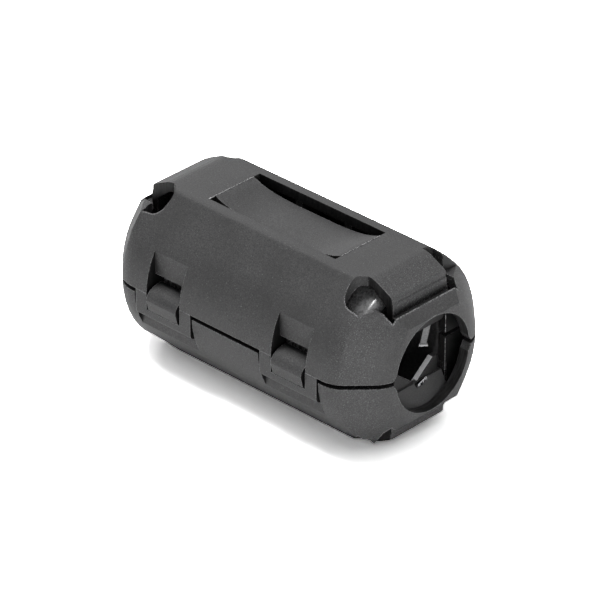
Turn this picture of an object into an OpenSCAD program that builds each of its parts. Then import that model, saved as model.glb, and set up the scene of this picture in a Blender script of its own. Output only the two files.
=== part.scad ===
// Clip-on ferrite bead: two half ring cores in a case that folds shut on a film hinge.
// X runs along the cable, -Y is the latch side, +Y the hinge side, and the
// origin is on the cable axis at the middle of the bead.

/* [Core] */
// Outer diameter of the closed core
core_d = 14.8; // [12:0.2:20]
// Hole through the core, the thickest cable that fits
cable_d = 9; // [6:0.5:10]
// Length of the core
core_len = 28; // [24:0.5:40]
// Tumbled radius on the core's outer end edges
core_edge_r = 0.9; // [0.3:0.1:1.2]
// Radius on the core's inner end edges
core_lip_r = 0.4; // [0.2:0.1:0.6]
// Lapped joint left between the two half cores
core_joint = 0.04; // [0.02:0.02:0.1]

/* [Case] */
// Thickness of the moulded walls
wall = 1; // [0.8:0.1:1.4]
// Room between the core and the flat top and bottom walls
top_room = 0.4; // [0.3:0.05:0.8]
// Room between the core and the two side walls
side_room = 1.35; // [1.2:0.05:2]
// Radius of the long round sides, up to the 45 degree flanks
side_r = 8.45; // [7.8:0.05:9.2]
// Radius along the edges of the flat top
flat_edge_r = 0.8; // [0.4:0.1:1.2]
// Gap at the parting line, across both halves
parting_gap = 0.44; // [0.2:0.02:0.5]

/* [Ribs and stops] */
// Thickness of the cradle ribs under the core
rib_t = 0.9; // [0.7:0.1:1.2]
// Distance from the middle of the bead to the first rib
inner_rib_x = 3.2; // [2:0.1:4]
// Distance from the middle of the bead to the second rib
outer_rib_x = 10.4; // [9:0.1:11]
// Gap between the ribs and the leaf window
rib_gap = 0.2; // [0.1:0.05:0.5]
// Thickness of the stops at the ends of the core
stop_t = 0.8; // [0.6:0.1:1.4]
// Height of those stops above the parting plane
stop_h = 5.2; // [3.5:0.1:5.6]

/* [Case ends] */
// Diameter of the round opening in each end
opening_d = 9.9; // [9:0.1:10.4]
// Thickness of the end wall round the opening
end_wall = 1.1; // [0.9:0.1:1.4]
// Notch that a half has in the opening's rim, beside the parting plane
rim_notch = 0.35; // [0.2:0.05:0.5]
// Room between the core and the end wall, for the gripping flaps
grip_room = 2.4; // [2.2:0.1:3.5]
// How far back the 45 degree chamfer of the sides reaches
side_chamfer = 3.78; // [3.2:0.02:4]
// How far back the chamfer of the 45 degree flanks reaches
flank_chamfer = 3.4; // [3:0.1:3.6]
// How far back the steeper chamfer of the top and bottom reaches
top_chamfer = 3.9; // [3.5:0.05:4.1]
// Fall of the top chamfer for each millimetre of length
top_fall = 0.89; // [0.85:0.01:0.98]
// Radius where the flat top turns into that chamfer
top_r = 2.5; // [1:0.5:4]
// Radius where the sides turn into their end chamfer
shoulder_r = 3.1; // [1:0.1:4]
// Radius where the side chamfer turns into the end face
nose_r = 3.5; // [2:0.1:4]
// Height of the bevelled top of the end wall above the opening
lip_rise = 1.05; // [0.9:0.05:1.2]

/* [Corner pockets] */
// Half width of the bridge between two pockets
bridge_half = 3.63; // [3.2:0.01:3.8]
// Width of a pocket, across its round end
pocket_w = 2.94; // [2.4:0.02:3]
// Distance from the case end to the middle of the pocket's round end
pocket_back = 4.45; // [4.2:0.05:4.8]
// Height of the bottom of the pockets above the parting plane
pocket_floor = 3; // [2.8:0.1:3.4]
// Width of the channel beside the bridge, which is all there is on the hinge side
channel_w = 1.07; // [0.9:0.01:1.2]
// Distance from the case end to the blind end of that channel
channel_back = 4.9; // [4.6:0.05:5.2]
// Distance from the case end to the ledge beside the channel
ledge_back = 3.25; // [3:0.05:3.4]
// Height of the ledge above the parting plane
ledge_z = 6.45; // [6.4:0.05:6.6]
// How far the slot behind the end wall reaches beyond the bridge
slot_side = 0.76; // [0.6:0.02:0.9]
// Width of the slot between the bridge and the end wall
groove_w = 0.72; // [0.5:0.02:0.8]
// Radius along the end of the bridge
bridge_r = 0.35; // [0.2:0.05:0.5]
// Thickness of the skin below that slot
groove_floor = 0.7; // [0.5:0.05:0.9]

/* [Leaf springs] */
// Length of the window in the flat top and bottom
window_len = 16.4; // [12:0.2:18]
// Width of that window
window_w = 6.8; // [5.6:0.1:7]
// Width of the leaf that bows down in the window
leaf_w = 5.2; // [4.5:0.1:5.5]
// Thickness of the leaf
leaf_t = 0.44; // [0.3:0.02:0.5]
// Clearance between the bowed leaf and the core
leaf_clear = 0.04; // [0.02:0.02:0.1]

/* [Latches] */
// Distance from the case end to the middle of a latch
latch_back = 9.3; // [9.1:0.1:9.8]
// Width of a latch loop
loop_w = 7.3; // [6.8:0.1:7.6]
// How far a loop reaches below the parting plane
loop_drop = 2.54; // [2.4:0.02:2.8]
// Thickness of a loop
loop_t = 0.95; // [0.8:0.05:1]
// Height of the bar across the foot of a loop
loop_bar = 1; // [0.8:0.1:1.1]
// Width of the window for the hook
hook_window_w = 4.4; // [4:0.1:4.8]
// Depth of that window's upper recess, from the case side
recess_depth = 1.25; // [1.1:0.05:1.4]
// Height of the through part of the window above the parting plane
slot_top = 1.9; // [1.6:0.1:2.2]
// Width of a hook
hook_w = 3.9; // [3.4:0.1:3.9]
// Height of a hook's nose above the parting plane
hook_top = 0.95; // [0.7:0.05:1.1]
// How far a hook stands out from the case side
hook_proud = 0.3; // [0.1:0.05:0.4]
// Radius on the outer corner at the foot of a loop
loop_round = 0.5; // [0.2:0.1:0.7]
// Gap round a loop in its recess
loop_gap = 0.2; // [0.1:0.05:0.3]
// Depth of a hook's crest below the parting plane
hook_crest = 0.3; // [0.2:0.05:0.4]
// How far the block behind a latch reaches beyond its window
pad_side = 1.3; // [1:0.1:1.6]
// Height of that block above the parting plane
pad_h = 5.2; // [4.8:0.1:5.6]
// Gap between that block and the core
pad_gap = 0.25; // [0.2:0.05:0.3]

/* [Grips] */
// Half width of a gripping flap
flap_half = 3.4; // [3:0.1:3.6]
// Thickness of a flap, its fingers and its teeth
flap_t = 0.55; // [0.4:0.05:0.7]
// How far a flap leans in from the end wall
flap_lean = 0.95; // [0.7:0.05:1.1]
// Height of the upper flap's edge above the cable axis
upper_flap_z = 2.5; // [2.2:0.1:2.8]
// Depth of the lower flap's edge below the cable axis
lower_flap_z = 2.95; // [2.6:0.05:3.2]
// Distance of a finger from the middle plane
finger_y = 1.4; // [0.8:0.05:1.6]
// Width of a finger
finger_w = 0.9; // [0.6:0.1:1.2]
// How far a finger leans in from the flap
finger_lean = 0.5; // [0.3:0.05:0.6]
// Chamfer along both sides of a finger's face
finger_chamfer = 0.4; // [0.2:0.05:0.42]
// Height of a finger's tip above the cable axis
finger_tip_z = 0.3; // [0.2:0.1:1]
// Distance of a tooth's tip from the middle plane
tooth_y = 2.6; // [2.2:0.1:2.8]
// Depth of the tip of a tooth below the cable axis
tooth_z = 1.25; // [1:0.05:1.6]
// Width of the tip of a tooth
tooth_w = 0.5; // [0.4:0.05:0.7]
// How far the plate with the teeth stands behind the edge of its flap
tooth_back = 0.2; // [0.1:0.05:0.3]

/* [Hinge] */
// Length of each film hinge strap
strap_len = 6; // [4:0.5:8]
// Distance from the middle of the bead to the middle of a strap
strap_x = 6.4; // [4.5:0.1:7]
// Thickness of the film
strap_t = 0.22; // [0.2:0.02:0.26]
// Height of a strap, over both halves
strap_h = 1.3; // [1:0.1:1.8]
// Radius on the outer edges of a strap
strap_round = 0.14; // [0.1:0.02:0.2]

/* [Hidden] */

case_colour = [0.2, 0.2, 0.21];
spring_colour = [0.25, 0.25, 0.26];
ferrite_colour = [0.12, 0.12, 0.13];

// Round cuts, and the steps of the faceted outer form in each 45 degrees
$fn = 96;
side_steps = 6;
edge_steps = 3;
end_steps = 4;
leaf_steps = 16;
tan_half = tan(22.5);

// Half sizes of the closed case, built up from the core outwards
core_r = core_d / 2;
core_half = core_len / 2;
case_half_w = core_r + side_room + wall;
case_half_h = core_r + top_room + wall;
case_half_len = core_half + grip_room + end_wall;
part_z = parting_gap / 2;
flank_reach = case_half_w + side_r * tan_half;
wall_x = case_half_len - end_wall;

// Clearances between the core and what seats it, the overlap that knits two
// parts of one moulding, and a cut's overshoot
seat_clear = 0.05;
end_clear = 0.1;
knit = 0.1;
over = 1;

// Walls and ribs inside the case
side_inner = case_half_w - wall;
stop_x = core_half + end_clear;
stop_y = cable_d / 2;
pad_w = hook_window_w + 2 * pad_side;

// Latches
loop_face = case_half_w - loop_t;
pad_face = loop_face - loop_gap / 2;
panel_face = case_half_w - recess_depth;
pad_inner = core_r + pad_gap;
latch_x = case_half_len - latch_back;
bar_top = -loop_drop + loop_bar;
latch_clear = 0.05;

// Ends: the groove, the pockets and the flaps
groove_x = wall_x - groove_w;
groove_z = opening_d / 2 + groove_floor;
pocket_x = case_half_len - pocket_back;
channel_x = case_half_len - channel_back;
channel_y = bridge_half + channel_w;
ledge_x = case_half_len - ledge_back;
slot_y = bridge_half + slot_side;
flap_root = opening_d / 2;
flap_tip_x = wall_x - flap_lean;
finger_tip_x = flap_tip_x - finger_lean;
plate_root = lower_flap_z + flap_t / 2;

// Film hinge
strap_out = hook_proud;

// The amount a side is cut in at distance e from the case end
function side_cut(e) =
    let (start = side_chamfer + shoulder_r * tan_half,
         turn = start - shoulder_r * sin(45),
         nose = nose_r * (1 - sin(45)))
    e >= start ? 0
    : e > turn ? shoulder_r - sqrt(pow(shoulder_r, 2) - pow(start - e, 2))
    : e > nose ? side_chamfer - e
    : side_chamfer + nose_r * tan_half - sqrt(pow(nose_r, 2) - pow(nose_r - e, 2));

// The same for the 45 degree flanks and for the flat top
function flank_cut(e) = max(0, flank_chamfer - e);
top_turn = atan(top_fall);
top_start = top_chamfer + top_r * tan(top_turn / 2);
function top_cut(e) =
    e >= top_start ? 0
    : e > top_start - top_r * sin(top_turn) ? top_r - sqrt(pow(top_r, 2) - pow(top_start - e, 2))
    : top_fall * (top_chamfer - e);

// Upper half of a section: half width w, half height h, flank reach s (y + z)
// and the radius along the edges of the flat
function section_side(w, h, s, edge_r) =
    let (r = (s - w) / tan_half,
         cy = s - h - edge_r * tan_half,
         cz = h - edge_r)
    concat(
        [for (i = [0 : side_steps])
            let (t = 45 * i / side_steps) [w - r + r * cos(t), r * sin(t)]],
        [for (i = [edge_steps : -1 : 0])
            let (t = 45 * i / edge_steps) [cy + edge_r * sin(t), cz + edge_r * cos(t)]]);
function section(w, h, s, edge_r) =
    let (right = section_side(w, h, s, edge_r), n = len(right))
    concat(right, [for (i = [n - 1 : -1 : 0]) [-right[i][0], right[i][1]]]);

// Distances from the case end at which the outer form changes
shoulder_start = side_chamfer + shoulder_r * tan_half;
stations = concat(
    [for (i = [0 : end_steps]) shoulder_start - shoulder_r * sin(45 * i / end_steps)],
    [for (i = [0 : end_steps]) top_start - top_r * sin(top_turn * i / end_steps)],
    [for (i = [0 : end_steps]) nose_r * (1 - sin(90 - 45 * i / end_steps))],
    [flank_chamfer]);

// Extrudes a Y-Z outline along X, from -half to half
module along_x(half) {
    rotate([90, 0, 90]) linear_extrude(height = 2 * half, center = true) children();
}

// Extrudes an X-Z outline along Y, from y0 to y1
module across_y(y0, y1) {
    translate([0, y1, 0]) rotate([90, 0, 0]) linear_extrude(height = y1 - y0) children();
}

// A box given by its two corners
module block(low, high) {
    translate(low) cube(high - low);
}

// Both ends, or all four corners, of something drawn at +X or at +X+Y
module both_ends() {
    children();
    mirror([1, 0, 0]) children();
}
module four_corners() {
    both_ends() {
        children();
        mirror([0, 1, 0]) children();
    }
}

// Solid upper half of the case, as the hull of nested prisms
module outer_form() {
    hull()
        for (e = stations)
            along_x(case_half_len - e)
                polygon(section(case_half_w - side_cut(e),
                                case_half_h - top_cut(e),
                                flank_reach - sqrt(2) * flank_cut(e),
                                flat_edge_r));
}

// Room inside: the section less the wall, tapering to the end wall
module inner_form() {
    hull() {
        along_x(case_half_len - top_chamfer - wall / 2)
            polygon(section(side_inner, case_half_h - wall,
                            flank_reach - sqrt(2) * wall, flat_edge_r / 2));
        along_x(wall_x)
            polygon(section(case_half_w - side_cut(end_wall) - wall,
                            groove_z - groove_floor / 2,
                            flank_reach - sqrt(2) * (flank_cut(end_wall) + wall),
                            flat_edge_r / 2));
    }
}

// Cradle ribs, end stops, latch pads and the skin under the slot
module inner_walls() {
    difference() {
        union() {
            both_ends()
                for (x = [inner_rib_x, outer_rib_x])
                    block([x - rib_t / 2, -case_half_w, 0], [x + rib_t / 2, case_half_w, case_half_h]);
            for (side = [-1, 1])
                translate([side * latch_x, 0, 0])
                    block([-pad_w / 2, -case_half_w, 0], [pad_w / 2, -pad_inner, pad_h]);
        }
        along_x(core_half) circle(r = core_r + seat_clear);
        block([-window_len / 2 - over, -window_w / 2 - rib_gap, 0],
              [window_len / 2 + over, window_w / 2 + rib_gap, case_half_h]);
    }
    four_corners()
        block([stop_x, stop_y, 0], [stop_x + stop_t, case_half_w, stop_h]);
    both_ends()
        block([groove_x - groove_floor, -bridge_half, flap_root],
              [wall_x + end_wall / 2, bridge_half, case_half_h]);
}

// The channel beside the bridge, which runs into the slot behind the end wall
module channel_plan() {
    polygon([[channel_x, bridge_half], [wall_x, bridge_half], [wall_x, slot_y],
             [groove_x, channel_y], [channel_x + channel_w / 3, channel_y]]);
}

// Plan of a latch side pocket, at +X+Y: a round end, closed by the ledge
module pocket_plan() {
    translate([pocket_x, bridge_half + pocket_w / 2]) circle(d = pocket_w);
    polygon([[pocket_x, bridge_half], [ledge_x, bridge_half],
             [ledge_x, bridge_half + pocket_w + knit], [pocket_x, bridge_half + pocket_w]]);
    channel_plan();
}

// The notch in the opening's rim, at +X+Y
module notch() {
    rim = opening_d / 2;
    translate([wall_x - knit, 0, 0])
        rotate([90, 0, 90])
            linear_extrude(height = end_wall + over)
                polygon([[rim - rim_notch, -over], [rim + rim_notch, -over],
                         [rim + rim_notch, part_z], [rim - rim_notch, part_z + 3 * rim_notch]]);
}

// The flat ledge beside the channel, at +X+Y
module ledge() {
    block([ledge_x, bridge_half, ledge_z],
          [wall_x, bridge_half + pocket_w + over, case_half_h]);
}

// What is open at the corners: one of them has the channel alone
module corner_cuts() {
    translate([0, 0, pocket_floor])
        linear_extrude(height = case_half_h) {
            mirror([0, 1]) pocket_plan();
            mirror([1, 0]) pocket_plan();
            rotate(180) pocket_plan();
            channel_plan();
        }
}

// The slot behind the end wall, which rounds the end of the bridge and bevels the
// top of that wall
module groove() {
    slope = sqrt(1 + pow(top_fall, 2));
    turn = atan(1 / top_fall);
    round_x = groove_x - bridge_r;
    round_z = case_half_h - top_cut(case_half_len - round_x) - bridge_r * slope;
    across_y(-slot_y, slot_y)
        polygon(concat(
            [[groove_x, groove_z], [wall_x, groove_z], [wall_x, flap_root + lip_rise],
             [case_half_len + over, flap_root + lip_rise - top_fall * (end_wall + over)],
             [case_half_len + over, case_half_h],
             [round_x + bridge_r * cos(turn), case_half_h]],
            [for (i = [edge_steps : -1 : 0])
                let (t = turn * i / edge_steps)
                [round_x + bridge_r * cos(t), round_z + bridge_r * sin(t)]]));
}

// Height of the leaf's top face at x: flat in the middle, steep at its ends
function leaf_z(x) =
    let (bow = case_half_h - (core_r + leaf_clear + leaf_t))
    case_half_h - bow * (1 - pow(abs(2 * x / window_len), 4));

// The bowed leaf spring, with both its ends rooted in the case
module leaf() {
    root = window_len / 2 + leaf_t;
    xs = [for (i = [0 : leaf_steps]) window_len * (i / leaf_steps - 0.5)];
    across_y(-leaf_w / 2, leaf_w / 2)
        polygon(concat([[-root, case_half_h]],
                       [for (x = xs) [x, leaf_z(x)]],
                       [[root, case_half_h], [root, case_half_h - leaf_t]],
                       [for (i = [leaf_steps : -1 : 0]) [xs[i], leaf_z(xs[i]) - leaf_t]],
                       [[-root, case_half_h - leaf_t]]));
}

// A flap that hangs from the skin under the slot, with its edge at height z
module flap(z) {
    across_y(-flap_half, flap_half)
        polygon([[wall_x, flap_root], [flap_tip_x, z], [flap_tip_x - flap_t, z],
                 [groove_x, flap_root]]);
}

// Two fingers that hang from the upper flap, chamfered along their faces
module fingers() {
    fall = upper_flap_z + knit - finger_tip_z;
    side_w = sqrt(2) * finger_chamfer;
    for (side = [-1, 1])
        translate([0, side * (finger_y + finger_w / 2), 0])
            difference() {
                across_y(-finger_w / 2, finger_w / 2)
                    polygon([[flap_tip_x, upper_flap_z + knit], [finger_tip_x, finger_tip_z],
                             [finger_tip_x - flap_t, finger_tip_z],
                             [flap_tip_x - flap_t, upper_flap_z + knit]]);
                for (edge = [-1, 1])
                    translate([finger_tip_x, edge * finger_w / 2, finger_tip_z])
                        rotate([0, atan(finger_lean / fall), 0])
                            rotate([0, 0, 45])
                                cube([side_w, side_w, 4 * fall], center = true);
            }
}

// The lower flap's upright plate, with a V between its two teeth
module teeth() {
    inner = tooth_y - tooth_w / 2;
    outer = tooth_y + tooth_w / 2;
    translate([flap_tip_x - tooth_back - flap_t, 0, 0])
        rotate([90, 0, 90])
            linear_extrude(height = flap_t)
                polygon([[0, knit - plate_root], [inner, -tooth_z], [outer, -tooth_z],
                         [outer + tooth_w / 2, -plate_root], [-outer - tooth_w / 2, -plate_root],
                         [-outer, -tooth_z], [-inner, -tooth_z]]);
}

// What both halves share, drawn as the upper half down to the parting gap
module half_shell() {
    difference() {
        union() {
            difference() {
                outer_form();
                inner_form();
                along_x(case_half_len + over) circle(d = opening_d);
            }
            intersection() {
                inner_walls();
                outer_form();
            }
        }
        block([-window_len / 2, -window_w / 2, core_r],
              [window_len / 2, window_w / 2, case_half_h + over]);
        corner_cuts();
        four_corners() notch();
        both_ends() groove();
        block([-case_half_len - over, -case_half_w - over, -over],
              [case_half_len + over, case_half_w + over, part_z]);
    }
    leaf();
}

// One window for a hook, cut through the upper half at +X
module hook_window() {
    translate([latch_x, 0, 0]) {
        block([-hook_window_w / 2, -case_half_w - over, -loop_drop - over],
              [hook_window_w / 2, -panel_face, case_half_h]);
        block([-hook_window_w / 2, -case_half_w - over, -over],
              [hook_window_w / 2, -pad_inner + over, slot_top]);
    }
}

module upper_shell() {
    color(case_colour)
        difference() {
            half_shell();
            four_corners() ledge();
            both_ends() hook_window();
        }
}

// A hook of the lower half, which stands up through the parting plane
module hook() {
    out = case_half_w + hook_proud;
    back = panel_face - hook_proud;
    root = pad_inner + pad_gap;
    rise = hook_top + hook_crest;
    translate([latch_x, 0, 0])
        rotate([90, 0, 90])
            linear_extrude(height = hook_w, center = true)
                polygon(concat(
                    [[-root, bar_top + latch_clear], [-case_half_w, bar_top + latch_clear]],
                    [for (i = [0 : edge_steps * 2])
                        let (t = 90 * i / (edge_steps * 2))
                        [-back - (out - back) * cos(t), rise * sin(t) - hook_crest]],
                    [[-root, hook_top]]));
}

module lower_shell() {
    color(case_colour) {
        difference() {
            mirror([0, 0, 1]) half_shell();
            both_ends()
                translate([latch_x, 0, 0])
                    block([-loop_w / 2 - loop_gap, -case_half_w - over, -pad_h],
                          [loop_w / 2 + loop_gap, -pad_face, over]);
        }
        both_ends() hook();
    }
}

// The loops of the upper half, which spring out over the hooks
module latch_loops() {
    out = case_half_w - loop_round;
    low = loop_round - loop_drop;
    color(case_colour)
        both_ends()
            translate([latch_x, 0, 0])
                difference() {
                    along_x(loop_w / 2)
                        polygon(concat(
                            [[-loop_face, part_z], [-case_half_w, part_z]],
                            [for (i = [0 : edge_steps])
                                let (t = 90 * i / edge_steps)
                                [-out - loop_round * cos(t), low - loop_round * sin(t)]],
                            [[-loop_face, -loop_drop]]));
                    block([-hook_window_w / 2, -case_half_w - over, bar_top],
                          [hook_window_w / 2, 0, over]);
                }
}

// Two film straps across the parting line on the hinge side
module film_hinge() {
    y0 = case_half_w - strap_h / 2 * tan(22.5 / side_steps);
    y1 = case_half_w + strap_out;
    color(case_colour)
        for (side = [-1, 1])
            translate([side * strap_x, 0, 0])
                along_x(strap_len / 2)
                    difference() {
                        polygon([[y0, -strap_h / 2], [y1 - strap_round, -strap_h / 2],
                                 [y1, strap_round - strap_h / 2], [y1, strap_h / 2 - strap_round],
                                 [y1 - strap_round, strap_h / 2], [y0, strap_h / 2],
                                 [case_half_w, 0]]);
                        translate([y0 - over, -part_z])
                            square([strap_out - strap_t + over, parting_gap]);
                    }
}

// Flaps and fingers moulded to the upper half's end walls, which bend with the cable
module upper_grips() {
    color(spring_colour)
        both_ends() {
            flap(upper_flap_z);
            fingers();
        }
}

// Flaps and teeth moulded to the lower half's end walls
module lower_grips() {
    color(spring_colour)
        both_ends() {
            mirror([0, 0, 1]) flap(lower_flap_z);
            teeth();
        }
}

// Radial profile of the core: [distance from the axis, place along it]
core_profile = concat(
    [[cable_d / 2, 0]],
    [for (i = [0 : edge_steps]) let (t = 90 * i / edge_steps)
        [cable_d / 2 + core_lip_r * (1 - cos(t)), core_half - core_lip_r * (1 - sin(t))]],
    [for (i = [0 : 2 * edge_steps]) let (t = 90 * i / (2 * edge_steps))
        [core_r - core_edge_r * (1 - sin(t)), core_half - core_edge_r * (1 - cos(t))]],
    [[core_r, 0]]);

// Upper half of the ring core
module half_core() {
    difference() {
        rotate([0, 90, 0])
            rotate_extrude()
                polygon(concat(core_profile,
                               [for (i = [len(core_profile) - 2 : -1 : 1])
                                   [core_profile[i][0], -core_profile[i][1]]]));
        block([-core_len, -core_d, -core_d], [core_len, core_d, core_joint / 2]);
    }
}

module upper_core() {
    color(ferrite_colour) half_core();
}

module lower_core() {
    color(ferrite_colour) mirror([0, 0, 1]) half_core();
}

upper_shell();
lower_shell();
latch_loops();
film_hinge();
upper_grips();
lower_grips();
upper_core();
lower_core();
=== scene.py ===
# %% [markdown]
# # A clip on ferrite bead, dressed for the studio
# The bead is two half rings of ferrite in a black nylon case. The case is
# moulded flat and folds shut on a film hinge, and two loops snap over hooks to
# hold it. The solids come ready from CAD, so this lesson is about surfaces: the
# small radius on moulded edges, spark-eroded grain, drag marks and painted shade
# in recesses, thin flash at the joints of the mould, and the tumbled skin of the
# ferrite. Sizes on the part are in millimetres and are turned into metres by MM,
# and those of the lamps and the floor are in metres.

# %% The imported model
import bmesh
import bpy
import math
import random
from mathutils import Matrix, Vector


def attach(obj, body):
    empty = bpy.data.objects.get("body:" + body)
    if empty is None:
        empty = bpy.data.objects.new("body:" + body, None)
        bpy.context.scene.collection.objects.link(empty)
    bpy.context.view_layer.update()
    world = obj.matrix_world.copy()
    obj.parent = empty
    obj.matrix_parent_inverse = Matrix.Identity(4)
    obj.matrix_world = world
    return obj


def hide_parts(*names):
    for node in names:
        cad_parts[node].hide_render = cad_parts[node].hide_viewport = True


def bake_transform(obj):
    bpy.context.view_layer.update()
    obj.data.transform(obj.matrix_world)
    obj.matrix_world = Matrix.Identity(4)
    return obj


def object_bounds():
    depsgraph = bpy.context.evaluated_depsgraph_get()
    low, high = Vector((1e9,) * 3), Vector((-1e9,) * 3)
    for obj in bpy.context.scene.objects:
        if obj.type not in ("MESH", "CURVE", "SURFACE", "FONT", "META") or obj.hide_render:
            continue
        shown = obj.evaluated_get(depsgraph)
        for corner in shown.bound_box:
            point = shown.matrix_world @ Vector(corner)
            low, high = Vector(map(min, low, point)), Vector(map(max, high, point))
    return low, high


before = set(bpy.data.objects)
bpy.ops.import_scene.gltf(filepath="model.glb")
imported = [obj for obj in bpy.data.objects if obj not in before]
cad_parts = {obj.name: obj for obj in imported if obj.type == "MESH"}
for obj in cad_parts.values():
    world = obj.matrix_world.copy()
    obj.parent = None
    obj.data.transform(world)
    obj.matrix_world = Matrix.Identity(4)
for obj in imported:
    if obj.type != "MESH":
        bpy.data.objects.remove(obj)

MM = 0.001
cad_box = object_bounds()
CASE_TOP = cad_box[1][2] / MM

# %% [markdown]
# ## The camera
# Small products are taken from far away with a long lens, which keeps their
# parallel edges nearly parallel. A camera could be aimed with a Track To
# constraint. Here its three axes are built from azimuth and elevation, so that
# the aim can be shifted along them by a fraction of a millimetre.

# %% Camera axes
AZIMUTH, ELEVATION = math.radians(43.876), math.radians(30.527)
level = Vector((math.sin(AZIMUTH), -math.cos(AZIMUTH), 0))
BACK = level * math.cos(ELEVATION) + Vector((0, 0, math.sin(ELEVATION)))
RIGHT = Vector((math.cos(AZIMUTH), math.sin(AZIMUTH), 0))
UP = BACK.cross(RIGHT)
print("camera looks along", [round(-part, 3) for part in BACK])

# %% Camera
DISTANCE, SHIFT_RIGHT, SHIFT_DOWN = 446.1, 0.287, 0.325
FOCAL_LENGTH, SENSOR = 282.8, 36
lens = bpy.data.cameras.new("long_lens")
lens.lens, lens.sensor_width = FOCAL_LENGTH, SENSOR
lens.clip_start, lens.clip_end = 0.01, 10
camera = bpy.data.objects.new("camera", lens)
place = (BACK * DISTANCE + RIGHT * SHIFT_RIGHT - UP * SHIFT_DOWN) * MM
axes = Matrix((RIGHT, UP, BACK)).transposed().to_4x4()
camera.matrix_world = Matrix.Translation(place) @ axes
bpy.context.collection.objects.link(camera)
bpy.context.scene.camera = camera
print("camera at", [round(part, 4) for part in place])

# %% [markdown]
# ## Copies of the moulded parts
# A CAD mesh arrives as loose triangles with flat shading. Shading it smooth
# would smear light across the flats. So each part gets a copy whose triangles
# are merged, whose flat faces are made whole again, and whose edges are marked
# sharp where they turn by more than a shallow facet does. Weighted normals then
# keep the large flats flat and let only the narrow facets between them bend.

# %% Joining a part's triangles
# Points nearer than WELD mm are one, faces within FLAT degrees are one, and an
# edge that turns by CRISP degrees or more stays sharp.
WELD, FLAT, CRISP = 0.001, 0.3, 24


def joined_mesh(node, name):
    """A copy of a CAD node's mesh with whole faces and marked edges."""
    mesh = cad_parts[node].data.copy()
    mesh.name = name
    mesh.materials.clear()
    shape = bmesh.new()
    shape.from_mesh(mesh)
    bmesh.ops.remove_doubles(shape, verts=shape.verts, dist=WELD * MM)
    bmesh.ops.dissolve_limit(shape, angle_limit=math.radians(FLAT), verts=shape.verts,
                             edges=shape.edges, delimit={"NORMAL"})
    for face in shape.faces:
        face.smooth = True
    for edge in shape.edges:
        edge.smooth = edge.is_manifold and edge.calc_face_angle(0) < math.radians(CRISP)
    shape.to_mesh(mesh)
    shape.free()
    return mesh


# %% A piece that stands for a CAD part
LARGE_FACES_LEAD = 80


def stand_in(node, name):
    piece = bpy.data.objects.new(name, joined_mesh(node, name))
    bpy.context.collection.objects.link(piece)
    even = piece.modifiers.new("even normals", "WEIGHTED_NORMAL")
    even.keep_sharp = True
    even.weight = LARGE_FACES_LEAD
    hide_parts(node)
    print(name, "has", len(piece.data.polygons), "faces")
    return piece


# %% The rigid parts
RIDES = {
    "upper_case": ("upper_shell", "lid"),
    "loops": ("latch_loops", "lid"),
    "upper_flaps": ("upper_grips", "lid"),
    "upper_ferrite": ("upper_core", "lid"),
    "lower_case": ("lower_shell", "base"),
    "lower_flaps": ("lower_grips", "base"),
    "lower_ferrite": ("lower_core", "base"),
}
pieces = {name: stand_in(node, name) for name, (node, body) in RIDES.items()}
for name, (node, body) in RIDES.items():
    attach(pieces[name], body)
print(len(pieces), "rigid pieces")

# %% [markdown]
# ## The film hinge
# The two halves hang together by two straps of the same nylon, thinned to a
# film where they bend.

# %% Film straps
# The film bends within BEND mm above and below the parting plane
BEND, CUTS = 0.5, 12
film = stand_in("film_hinge", "hinge_film")
shape = bmesh.new()
shape.from_mesh(film.data)
for cut in range(CUTS + 1):
    height = BEND * (2 * cut / CUTS - 1) * MM
    bmesh.ops.bisect_plane(shape, geom=shape.verts[:] + shape.edges[:] + shape.faces[:],
                           plane_co=(0, 0, height), plane_no=(0, 0, 1))
shape.to_mesh(film.data)
shape.free()
pieces["hinge_film"] = film

# %% [markdown]
# ## Tools for materials
# Every finish of the bead is a few nodes round the Principled shader. These
# helpers keep a finish down to the lines that describe it. Patterns read Object
# coordinates, which are metres on the piece itself, so that a grain has the
# same size on every part and stays put when the lid opens.

# %% New material
def new_material(name):
    material = bpy.data.materials.new(name)
    material.use_nodes = True
    tree = material.node_tree
    tree.nodes.clear()
    out = tree.nodes.new("ShaderNodeOutputMaterial")
    shader = tree.nodes.new("ShaderNodeBsdfPrincipled")
    tree.links.new(shader.outputs[0], out.inputs["Surface"])
    return material, tree, shader


def put(tree, kind, **settings):
    node = tree.nodes.new(kind)
    for name, value in settings.items():
        setattr(node, name, value)
    return node


# %% Arithmetic and curves
def maths(tree, operation, first, second):
    step = put(tree, "ShaderNodeMath", operation=operation)
    for socket, value in zip(step.inputs, (first, second)):
        if isinstance(value, (int, float)):
            socket.default_value = value
        else:
            tree.links.new(value, socket)
    return step.outputs[0]


def curve(tree, source, *stops):
    """A grey curve over source, given as (place, grey) stops."""
    ramp = put(tree, "ShaderNodeValToRGB")
    while len(ramp.color_ramp.elements) < len(stops):
        ramp.color_ramp.elements.new(0.5)
    for element, (at, grey) in zip(ramp.color_ramp.elements, stops):
        element.position = at
        element.color = (grey, grey, grey, 1)
    tree.links.new(source, ramp.inputs["Fac"])
    return ramp.outputs["Color"]


# Black nylon and ferrite are a trace bluer than neutral
COOL = 1.015


def blend(tree, share, first, second):
    """first where share is 0, second where it is 1; each a grey or a socket."""
    mix = put(tree, "ShaderNodeMix", data_type="RGBA")
    tree.links.new(share, mix.inputs["Factor"])
    for socket, value in ((mix.inputs["A"], first), (mix.inputs["B"], second)):
        if isinstance(value, (int, float)):
            socket.default_value = (value, value, value * COOL, 1)
        else:
            tree.links.new(value, socket)
    return mix.outputs["Result"]


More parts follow.
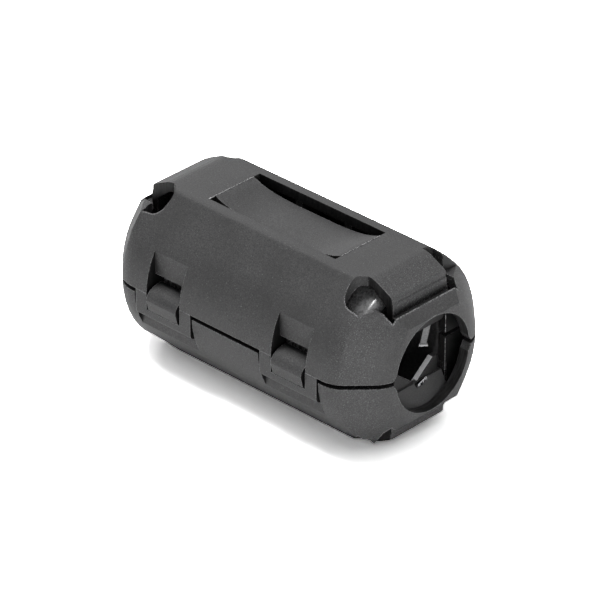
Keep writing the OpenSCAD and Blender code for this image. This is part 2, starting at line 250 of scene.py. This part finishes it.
# %% Patterns and places on the piece
def noise(tree, cells, detail=3, roughness=0.6, stretch=(1, 1, 1)):
    """Noise of so many cells a metre on the piece itself."""
    place = put(tree, "ShaderNodeTexCoord")
    turn = put(tree, "ShaderNodeMapping")
    turn.inputs["Scale"].default_value = stretch
    pattern = put(tree, "ShaderNodeTexNoise")
    pattern.inputs["Scale"].default_value = cells
    pattern.inputs["Detail"].default_value = detail
    pattern.inputs["Roughness"].default_value = roughness
    tree.links.new(place.outputs["Object"], turn.inputs["Vector"])
    tree.links.new(turn.outputs[0], pattern.inputs["Vector"])
    return pattern.outputs["Fac"]


def reach(tree, keep, low, high):
    """0 up to low and 1 from high, in mm from the axes that keep leaves out."""
    place = put(tree, "ShaderNodeTexCoord")
    flat = put(tree, "ShaderNodeVectorMath", operation="MULTIPLY")
    flat.inputs[1].default_value = keep
    far = put(tree, "ShaderNodeVectorMath", operation="LENGTH")
    rise = put(tree, "ShaderNodeMapRange")
    rise.inputs["From Min"].default_value = low * MM
    rise.inputs["From Max"].default_value = high * MM
    tree.links.new(place.outputs["Object"], flat.inputs[0])
    tree.links.new(flat.outputs["Vector"], far.inputs[0])
    tree.links.new(far.outputs["Value"], rise.inputs["Value"])
    return rise.outputs["Result"]


def nearness(tree, distance, inside=False):
    """Ambient occlusion within so many mm: low in hollows, or inside sharp edges."""
    near = put(tree, "ShaderNodeAmbientOcclusion", samples=8, inside=inside, only_local=inside)
    near.inputs["Distance"].default_value = distance * MM
    return near.outputs["AO"]


# %% Bump over rounded edges
def rounded_bump(tree, shader, height, radius, strength, depth):
    """Rounds the edges in shading, then lays a fine relief over them."""
    soft = put(tree, "ShaderNodeBevel", samples=8)
    soft.inputs["Radius"].default_value = radius * MM
    bump = put(tree, "ShaderNodeBump")
    bump.inputs["Strength"].default_value = strength
    bump.inputs["Distance"].default_value = depth * MM
    tree.links.new(height, bump.inputs["Height"])
    tree.links.new(soft.outputs[0], bump.inputs["Normal"])
    tree.links.new(bump.outputs[0], shader.inputs["Normal"])


# %% [markdown]
# ## Spark-eroded nylon
# The mould of the case is spark-eroded, which gives the nylon a fine even
# grain that takes the shine off black plastic. In recesses the colour fades to
# one dark grey, which is painted shade. Sharp edges carry pale specks, partly
# pale flash where thin nylon turned white when the part left the mould and partly
# painted highlights along the rounded edges, and the shoulders carry painted
# glints. Colour could be painted on a texture, but the nodes find hollows and
# edges by themselves.

# %% Grain
# Cells a metre: the grain, and the slow clouds in which it comes and goes
GRAIN_CELLS, CLOUD_CELLS = 8200, 260


def skin_grain(tree, shader, dark, light, painted_shade):
    """Colour and relief of an eroded skin, fading to a painted shade grey in recesses."""
    grain = noise(tree, GRAIN_CELLS)
    clouds = noise(tree, CLOUD_CELLS, roughness=0.5)
    rounded_bump(tree, shader, grain, radius=0.1, strength=0.7, depth=0.022)
    share = maths(tree, "MULTIPLY", curve(tree, grain, (0.38, 0), (0.66, 1)),
                  curve(tree, clouds, (0.35, 0.5), (0.65, 1)))
    skin = blend(tree, share, dark, light)
    # Painted shade: where ambient occlusion finds a recess, the colour fades to the painted_shade
    # grey.
    recess_shade = curve(tree, nearness(tree, 2.2), (0.45, 1), (0.83, 0))
    tree.links.new(curve(tree, clouds, (0.3, 0.5), (0.7, 0.58)), shader.inputs["Roughness"])
    return blend(tree, recess_shade, skin, painted_shade)


# %% Pale specks and painted glints
# Cells a metre of the edge specks, the painted glints and the stray specks, and the reach of the
# shoulders in mm, where the glints are painted
SPECK_CELLS, GLINT_CELLS, STRAY_CELLS = 8000, 11000, 9000
SHOULDER = (11.5, 14, 16.2, 17)


def specks_and_glints(tree, skin, grey, rare=(0.44, 0.58)):
    """Pale specks along the sharp edges below the flats, partly flash and partly painted
    highlights, painted glints on the shoulders, and strays.
    """
    specks = noise(tree, SPECK_CELLS, detail=1, roughness=0.5)
    # Pale specks on convex edges: partly flash and partly painted highlights along the rounded
    # edges.
    edges = curve(tree, nearness(tree, 0.14, inside=True), (0.5, 1), (0.8, 0))
    edges = maths(tree, "MULTIPLY", edges, curve(tree, specks, (rare[0], 0), (rare[1], 1)))
    below_flat = maths(tree, "SUBTRACT", 1, reach(tree, (0, 0, 1), CASE_TOP - 0.2, CASE_TOP - 0.1))
    edges = maths(tree, "MULTIPLY", edges, below_flat)
    shoulder = maths(tree, "SUBTRACT", reach(tree, (1, 0, 0), *SHOULDER[:2]),
                     reach(tree, (1, 0, 0), *SHOULDER[2:]))
    # Painted glints: pale grains set in the colour across the shoulders.
    painted_glint = noise(tree, GLINT_CELLS, detail=2, roughness=0.5)
    painted_glint = curve(tree, painted_glint, (0.56, 0), (0.74, 0.6))
    painted_glint = maths(tree, "MULTIPLY", painted_glint, shoulder)
    stray = curve(tree, noise(tree, STRAY_CELLS, detail=1, roughness=0.5), (0.68, 0), (0.78, 0.5))
    painted_glint = maths(tree, "MAXIMUM", painted_glint, stray)
    return blend(tree, maths(tree, "MAXIMUM", edges, painted_glint), skin, grey)


# %% Case nylon
nylon, tree, shader = new_material("eroded_nylon")
# The case fades to a painted shade of 0.008 in its recesses, and its edges and shoulders get pale
# specks and painted glints.
skin = skin_grain(tree, shader, dark=0.05, light=0.1, painted_shade=0.008)
tree.links.new(specks_and_glints(tree, skin, 0.32), shader.inputs["Base Color"])
print("case nylon has", len(tree.nodes), "nodes")

# The loops' edges carry denser pale specks, which are painted highlights along their rounded edges
loop_edge_highlight_nylon, tree, shader = new_material("loop_nylon_painted_edge_highlights")
skin = skin_grain(tree, shader, dark=0.05, light=0.1, painted_shade=0.008)
tree.links.new(specks_and_glints(tree, skin, 0.34, rare=(0.28, 0.44)), shader.inputs["Base Color"])
print("loop nylon has", len(tree.nodes), "nodes")

# %% [markdown]
# ## Painted shade in recesses
# The steel pins and plates that form the latch windows aren't eroded, so the
# nylon they leave is smooth, with faint upright drag marks. These walls, and
# those of the leaf windows and the bridges, get a second material with the drag
# marks and a near-black colour that is painted shade, since little light reaches
# them. They are picked by where they face and lie, which a reader can follow,
# rather than by face numbers, which change with the mesh.

# %% Drag-marked nylon
DRAG_CELLS = 700
recess_shade_nylon, tree, shader = new_material("recess_nylon_painted_shade")
drag = noise(tree, DRAG_CELLS, detail=2, stretch=(8, 8, 0.6))
rounded_bump(tree, shader, drag, radius=0.08, strength=0.4, depth=0.02)
# Painted shade: near black, and nearer black still where ambient occlusion finds the deep part of
# a recess.
skin = blend(tree, curve(tree, drag, (0.4, 0), (0.65, 1)), 0.008, 0.03)
recess_shade = curve(tree, nearness(tree, 2.5), (0.45, 1), (0.85, 0))
tree.links.new(blend(tree, recess_shade, skin, 0.001), shader.inputs["Base Color"])
shader.inputs["Roughness"].default_value = 0.5
shader.inputs["Specular IOR Level"].default_value = 0.3
print("polished nylon has", len(tree.nodes), "nodes")

# %% The rim of the openings
# Painted shade: the round wall of each opening gets a near-black colour for the shade inside it,
# with turned marks as a bump.
rim_shade_nylon, tree, shader = new_material("rim_nylon_painted_shade")
turned = noise(tree, DRAG_CELLS, detail=3, stretch=(8, 1, 1))
rounded_bump(tree, shader, turned, radius=0.08, strength=0.5, depth=0.03)
tree.links.new(blend(tree, curve(tree, turned, (0.38, 0), (0.62, 1)), 0.008, 0.04),
               shader.inputs["Base Color"])
shader.inputs["Roughness"].default_value = 0.5
print("rim nylon has", len(tree.nodes), "nodes")

# %% [markdown]
# ## Which face gets which finish
# In the editor, faces are picked by hand and given a material. A rule does the
# same here: it takes the middle of a face, in millimetres, and the way it
# faces, and says yes or no. A rule that comes later in the list wins.

# %% Picking faces
LATCH_DEPTH, RIM_RADIUS, RIM_START = 7.6, 4.95, 15.6
WINDOW_HALF, BRIDGE_HALF, STOP_Y = 3.4, 3.63, 4.5


def finish_faces(piece, finishes):
    """Gives a face the last finish whose rule it meets; the first is for all."""
    for material, rule in finishes:
        piece.data.materials.append(material)
    for face in piece.data.polygons:
        middle, facing = face.center / MM, face.normal
        for index, (material, rule) in enumerate(finishes):
            if rule is None or rule(middle, facing):
                face.material_index = index
    used = [face.material_index for face in piece.data.polygons]
    print(piece.name, "faces by finish:", [used.count(index) for index in range(len(finishes))])


def shaded_recess_wall(middle, facing):
    """The sides of the latch windows, the leaf windows and the bridges."""
    latch = abs(facing.x) > 0.99 and middle.y < -LATCH_DEPTH
    window = abs(facing.y) > 0.99 and abs(abs(middle.y) - WINDOW_HALF) < 0.05
    bridge = abs(facing.y) > 0.99 and abs(abs(middle.y) - BRIDGE_HALF) < 0.05
    return latch or window or bridge


def on_stop(middle, facing):
    """The stops at the ends of the core, seen through the opening."""
    front = abs(facing.x) > 0.99 and 14 < abs(middle.x) < 15 and abs(middle.y) > STOP_Y
    return front or (abs(facing.y) > 0.99 and abs(abs(middle.y) - STOP_Y) < 0.05)


def on_rim(middle, facing):
    """The round wall of an opening, from the flaps to the outer face."""
    far = math.hypot(middle.y, middle.z)
    return abs(facing.x) < 0.05 and abs(middle.x) > RIM_START and abs(far - RIM_RADIUS) < 0.15


# %% [markdown]
# ## Flaps, fingers and teeth
# The grips in the openings bend round the cable. Nylon turns pale where it is
# stretched or torn, and that is taken to be part of why the slanted sides of the
# fingers are grey and the slopes of the teeth nearly white; the rest of that
# paleness is painted light, for the light these faces catch in the opening. The
# fronts of the lower flaps, which face the light, keep a lit grey, and the rest
# of the grips is painted near black as shade of the case. These greys were set
# for the shade in which the grips lie, so the teeth look very white when the
# case is open.

# %% Grip finishes
# Painted light: a pale grey for the slanted sides of the fingers, partly stretch whitening and
# partly painted light.
strained_and_painted_light, tree, shader = new_material("strained_nylon_painted_light")
skin = skin_grain(tree, shader, dark=0.22, light=0.46, painted_shade=0.38)
tree.links.new(skin, shader.inputs["Base Color"])

# Painted shade: a near-black copy of the nylon for grips and stops in the shade of the case.
shaded, tree, shader = new_material("shaded_nylon")
tree.links.new(skin_grain(tree, shader, dark=0.008, light=0.03, painted_shade=0.008),
               shader.inputs["Base Color"])

# Painted light: near white for the slopes of the teeth, the frayed rims, the finger lips and the
# chip, partly torn nylon and partly painted light.
torn_and_painted_light, tree, shader = new_material("torn_nylon_painted_light")
tree.links.new(skin_grain(tree, shader, dark=0.85, light=1, painted_shade=1), shader.inputs["Base Color"])

# Painted light: the fronts of the lower flaps face the light and get a lit copy of the nylon,
# without the painted shade of the other grip faces.
lit_flap_nylon, tree, shader = new_material("lit_lower_flap_nylon")
tree.links.new(skin_grain(tree, shader, dark=0.07, light=0.1, painted_shade=0.075),
               shader.inputs["Base Color"])
print("grip finishes:", strained_and_painted_light.name, torn_and_painted_light.name, shaded.name, lit_flap_nylon.name)

# %% Finishes of the case and the loops
# The walls of the windows and bridges, the round walls of the openings and the stops get the
# painted shade finishes.
for name in ("upper_case", "lower_case"):
    finish_faces(pieces[name], [(nylon, None), (recess_shade_nylon, shaded_recess_wall), (rim_shade_nylon, on_rim),
                                (shaded, on_stop)])
finish_faces(pieces["loops"], [(loop_edge_highlight_nylon, None), (recess_shade_nylon, shaded_recess_wall)])
finish_faces(film, [(nylon, None)])


# %% Grips
def stretched(middle, facing):
    """The slanted sides of the fingers and the slopes of the teeth."""
    return 0.4 < abs(facing.y) < 0.9 and abs(facing.z) < 0.9


def leaning(middle, facing):
    """The fronts of the lower flaps."""
    return facing.z > 0.3 and abs(facing.y) < 0.1


finish_faces(pieces["upper_flaps"], [(shaded, None), (strained_and_painted_light, stretched)])
finish_faces(pieces["lower_flaps"], [(shaded, None), (lit_flap_nylon, leaning), (torn_and_painted_light, stretched)])

# %% [markdown]
# ## Tumbled ferrite
# A ferrite core is pressed, sintered like a ceramic and tumbled with grit,
# which rounds its edges and leaves a dense grey skin with a soft shine. The
# bore is dull, as little grit gets into it, and its near-black colour is painted
# shade, as little light gets into it. The distance from the cable's axis tells
# the one from the other.

# %% Ferrite
GRIT_CELLS, BORE_REACH = 3000, 5.2
ferrite, tree, shader = new_material("tumbled_ferrite")
grit = noise(tree, GRIT_CELLS)
rounded_bump(tree, shader, grit, radius=0.2, strength=0.3, depth=0.02)
skin = blend(tree, curve(tree, grit, (0.35, 0), (0.65, 1)), 0.12, 0.2)
# Painted shade: the colour falls to near black within BORE_REACH mm of the axis, where the bore
# lies.
outside = reach(tree, (0, 1, 1), BORE_REACH, 6.6)
tree.links.new(blend(tree, outside, 0.003, skin), shader.inputs["Base Color"])
tree.links.new(curve(tree, grit, (0.35, 0.22), (0.65, 0.34)), shader.inputs["Roughness"])
shader.inputs["IOR"].default_value = 2.0

# The bore's faces get a material of their own, dull and near black, which is painted shade.
bore, tree, shader = new_material("bore_ferrite")
tree.links.new(blend(tree, noise(tree, GRIT_CELLS), 0.006, 0.06), shader.inputs["Base Color"])
shader.inputs["Roughness"].default_value = 0.7
shader.inputs["Specular IOR Level"].default_value = 0.15


def in_bore(middle, facing):
    """The round bore of a core."""
    return math.hypot(middle.y, middle.z) < BORE_REACH


for name in ("upper_ferrite", "lower_ferrite"):
    finish_faces(pieces[name], [(ferrite, None), (bore, in_bore)])
print("finished", len(pieces), "pieces")

# %% [markdown]
# ## Flash
# Where two steels of the mould meet, a little nylon creeps between them and
# leaves a ragged pale line, here at both ends of the upper leaf spring and at
# the stops inside the openings. It is drawn as a thin three-sided bar whose
# crest rises and falls by a seeded draw, so it is a shape and not a painted
# line.

# %% Flash nylon
BURR_CELLS, TEAR_CELLS = 11000, 6000
burr, tree, shader = new_material("thin_flash")
pale = curve(tree, noise(tree, BURR_CELLS, detail=2), (0.4, 0), (0.56, 1))
tree.links.new(blend(tree, pale, 0.05, 0.9), shader.inputs["Base Color"])
shader.inputs["Roughness"].default_value = 0.35

# A tear in the edge of a flap is drawn as a near-black bar, which is painted shade for the hollow
# of the tear
painted_shade, tree, shader = new_material("tear_painted_shade")
tree.links.new(blend(tree, noise(tree, TEAR_CELLS), 0.001, 0.006), shader.inputs["Base Color"])
shader.inputs["Roughness"].default_value = 0.9
shader.inputs["Specular IOR Level"].default_value = 0.05
print("trim finishes:", burr.name, painted_shade.name)


# %% A ragged bar
draw = random.Random(7)
# A crest is CREST of the full height on average and SHALLOW at least, and the
# foot of a bar is sunk by SINK mm into what carries it.
CREST, SHALLOW, SINK = 0.75, 0.05, 0.02


def flash(name, body, start, finish, up, across, width, height, steps=90, ragged=0.45, skin=burr):
    """A bar from start to finish, in mm, whose crest is ragged."""
    shape = bmesh.new()
    bmesh.ops.create_cone(shape, cap_ends=True, segments=3, radius1=1, radius2=1, depth=2)
    for step in range(1, steps):
        bmesh.ops.bisect_plane(shape, geom=shape.verts[:] + shape.edges[:] + shape.faces[:],
                               plane_co=(0, 0, 2 * step / steps - 1), plane_no=(0, 0, 1))
    crest = [max(SHALLOW, draw.gauss(CREST, ragged)) for step in range(steps + 1)]
    start, finish, up, across = Vector(start), Vector(finish), Vector(up), Vector(across)
    top = max(vert.co.y for vert in shape.verts) - 0.1
    for vert in shape.verts:
        share = (vert.co.z + 1) / 2
        tall = crest[round(share * steps)]
        rise = height * tall if vert.co.y > top else -SINK
        side = vert.co.x * width * (0.6 + 0.4 * tall) if vert.co.y < top else 0
        vert.co = (start.lerp(finish, share) + up * rise + across * side) * MM
    bmesh.ops.recalc_face_normals(shape, faces=shape.faces)
    mesh = bpy.data.meshes.new(name)
    shape.to_mesh(mesh)
    shape.free()
    piece = bpy.data.objects.new(name, mesh)
    bpy.context.collection.objects.link(piece)
    piece.data.materials.append(skin)
    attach(piece, body)
    return piece


# %% [markdown]
# ## Tears in the grips
# The grips are thin and suffer when the mould opens. The edge of each lower
# flap is torn beside its middle, with a frayed pale rim, and the finger on the
# hinge side is drawn out to a toe with a pale lip. The same ragged bar makes
# them all, laid down the front of the flap or hung from the foot of the finger.
# The tear itself is a near-black bar, painted shade for its hollow, and the
# frayed rim and the lip are partly painted light.
# They lie at mirrored places at the two ends, and each crest is drawn anew. A
# chip is added at one corner of the leaf spring only.

# %% Flash, tears and toes at both ends
LEAF_END, LEAF_HALF, STOP_FACE = 8.2, 2.6, 14.9
STOP_REACH = (0.3, 4.8)
FLAP_RUN, FLAP_FALL = 0.43, 0.9
TEAR = ((15.47, -0.3, -2.99), (15.44, 1, -2.93))
FRAY = ((15.57, 0.05, -3.17), (15.43, 1.3, -2.9))
TOE = ((14.5, 1.35, 0.3), (15.04, 1.89, 0.3))
LIP = ((14.46, 1.31, 0.15), (15.06, 1.91, 0.15))


def at_end(end, points):
    """Points of the right end, mirrored where end is -1."""
    return [(end * x, y, z) for x, y, z in points]


for end, side in ((-1, "left"), (1, "right")):
    near = -WINDOW_HALF if end < 0 else -LEAF_HALF
    flash(f"leaf_flash_{side}", "lid", (end * LEAF_END, near, CASE_TOP),
          (end * LEAF_END, LEAF_HALF, CASE_TOP), (0, 0, 1), (1, 0, 0), 0.045, 0.07)
    down, off = (end * FLAP_RUN, 0, -FLAP_FALL), (FLAP_FALL, 0, end * FLAP_RUN)
    # The tear is a near-black bar, painted shade.
    flash(f"flap_tear_shade_{side}", "base", *at_end(end, TEAR), down, off, 0.06, 0.45,
          steps=24, ragged=0.25, skin=painted_shade)
    flash(f"flap_flash_{side}", "base", *at_end(end, FRAY), down, off, 0.08, 0.2,
          steps=30, ragged=0.75, skin=torn_and_painted_light)
    slant = (end * 0.7, -0.7, 0)
    flash(f"finger_toe_{side}", "lid", *at_end(end, TOE), (0, 0, -1), slant, 0.1, 0.4,
          steps=6, ragged=0.05, skin=strained_and_painted_light)
    flash(f"finger_lip_{side}", "lid", *at_end(end, LIP), (0, 0, -1), slant, 0.14, 0.25,
          steps=10, ragged=0.1, skin=torn_and_painted_light)
    for half, body, up in (("upper", "lid", 1), ("lower", "base", -1)):
        foot, head = [(end * STOP_FACE, STOP_Y, up * far) for far in STOP_REACH]
        flash(f"stop_flash_{side}_{half}", body, foot, head, (end, 0, 0), (0, 1, 0), 0.02, 0.025,
              steps=40)
flash("leaf_chip", "lid", (-LEAF_END, -WINDOW_HALF - 0.05, CASE_TOP),
      (-LEAF_END, -WINDOW_HALF + 0.25, CASE_TOP), (0, 0, 1), (1, 0, 0), 0.09, 0.12, steps=6,
      ragged=0.2, skin=torn_and_painted_light)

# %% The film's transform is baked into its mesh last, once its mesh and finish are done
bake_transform(film)

# %% [markdown]
# ## Floor
# The bead lies on white paper that ends in a white backdrop, pure white but for
# a soft shadow. More light would wash out the black case, so the lamps stay
# plain, and the paper is only brighter to the camera and in reflections. It
# is small, because beyond it the world gives the same white.

# %% Floor
FLOOR_HALF = 0.25
floor_mesh = bpy.data.meshes.new("floor")
shape = bmesh.new()
bmesh.ops.create_grid(shape, x_segments=1, y_segments=1, size=FLOOR_HALF)
bmesh.ops.translate(shape, verts=shape.verts, vec=(0, 0, cad_box[0][2]))
shape.to_mesh(floor_mesh)
shape.free()
floor = bpy.data.objects.new("floor", floor_mesh)
bpy.context.collection.objects.link(floor)

# %% Paper
PAPER, LIFT, MIRRORED = 0.86, 3.4, 0.7


def seen_and_mirrored(tree, strength):
    """1 for what the camera sees, straight or through glass, and strength for reflections."""
    ray = put(tree, "ShaderNodeLightPath")
    seen = maths(tree, "MAXIMUM", ray.outputs["Is Camera Ray"], ray.outputs["Is Transmission Ray"])
    return seen, maths(tree, "MULTIPLY", ray.outputs["Is Glossy Ray"], strength)


paper, tree, shader = new_material("paper")
seen, mirrored = seen_and_mirrored(tree, MIRRORED)
tree.nodes.remove(shader)
shader = put(tree, "ShaderNodeBsdfDiffuse")
tree.links.new(shader.outputs[0], tree.nodes["Material Output"].inputs["Surface"])
lift = maths(tree, "ADD", maths(tree, "MULTIPLY", seen, LIFT), mirrored)
lift = maths(tree, "ADD", lift, PAPER)
tree.links.new(lift, shader.inputs["Color"])
floor.data.materials.append(paper)
print("floor at z =", round(cad_box[0][2], 5))

# %% [markdown]
# ## Light
# Black plastic is shaped by what it reflects. A broad softbox overhead lights
# the whole case evenly and fills the shadow, a small one near it lights the
# near side and gives the ferrite its highlight, a weak one in front makes the
# shadow along that side paler, one behind lays a sheen on the flat top, and a
# low one lights the end wall. The world gives hardly any light, so that
# recesses stay black, but it looks white to the camera.

# %% World
WORLD, SKY_MIRRORED = 0.08, 0.12
world = bpy.data.worlds.new("studio")
bpy.context.scene.world = world
world.use_nodes = True
sky = world.node_tree.nodes["Background"]
sky.inputs["Color"].default_value = (1, 1, 1, 1)
seen, mirrored = seen_and_mirrored(world.node_tree, SKY_MIRRORED)
lift = maths(world.node_tree, "MAXIMUM", seen, mirrored)
lift = maths(world.node_tree, "MAXIMUM", lift, WORLD)
world.node_tree.links.new(lift, sky.inputs["Strength"])
print("world strength", WORLD, "and", SKY_MIRRORED, "in reflections")


# %% Softboxes
def softbox(name, where, size, watts, tall=None):
    light = bpy.data.lights.new(name, "AREA")
    light.shape = "RECTANGLE"
    light.size, light.size_y = size, tall or size
    light.energy = watts
    lamp = bpy.data.objects.new(name, light)
    lamp.location = where
    lamp.rotation_euler = (-Vector(where)).to_track_quat("-Z", "Y").to_euler()
    bpy.context.collection.objects.link(lamp)
    print("softbox", name, size, "m wide,", watts, "W")


softbox("overhead", (-0.03, 0.08, 0.45), 0.95, 1.7)
softbox("key", (-0.1, -0.08, 0.52), 0.15, 1.25)
softbox("front", (0.42, -0.42, 0.3), 0.2, 0.16)
softbox("back", (-0.6, 0.4, 0.25), 0.3, 0.8)
softbox("low", (0.5, -0.3, 0.02), 0.3, 0.8, tall=0.05)

# %% [markdown]
# ## A lamp with a tube
# A photographer puts a black tube, a snoot, before a small lamp, so that it
# lights one spot. A spot lamp with a narrow cone does the same. This one is
# aimed at the teeth in one opening, but without it they are only a few levels
# of grey darker. Its light falls on about a centimetre, and what it changes most
# is the shadow on the paper below that opening, which it makes paler. So each
# lamp is worth a test with it off.

# %% Snoot
def snoot(name, where, aim, cone, watts):
    """A narrow beam, as from a lamp with a black tube before it."""
    light = bpy.data.lights.new(name, "SPOT")
    light.spot_size, light.spot_blend = math.radians(cone), 0.5
    light.shadow_soft_size = 0.01
    light.energy = watts
    lamp = bpy.data.objects.new(name, light)
    lamp.location = Vector(where)
    lamp.rotation_euler = (Vector(aim) * MM - lamp.location).to_track_quat("-Z", "Y").to_euler()
    bpy.context.collection.objects.link(lamp)
    print("snoot", name, cone, "degrees wide,", watts, "W")


snoot("inside", (0.13, -0.19, 0.19), (15.2, 1.2, -1.3), 1.0, 3.6)
bpy.context.scene.view_settings.view_transform = "Standard"
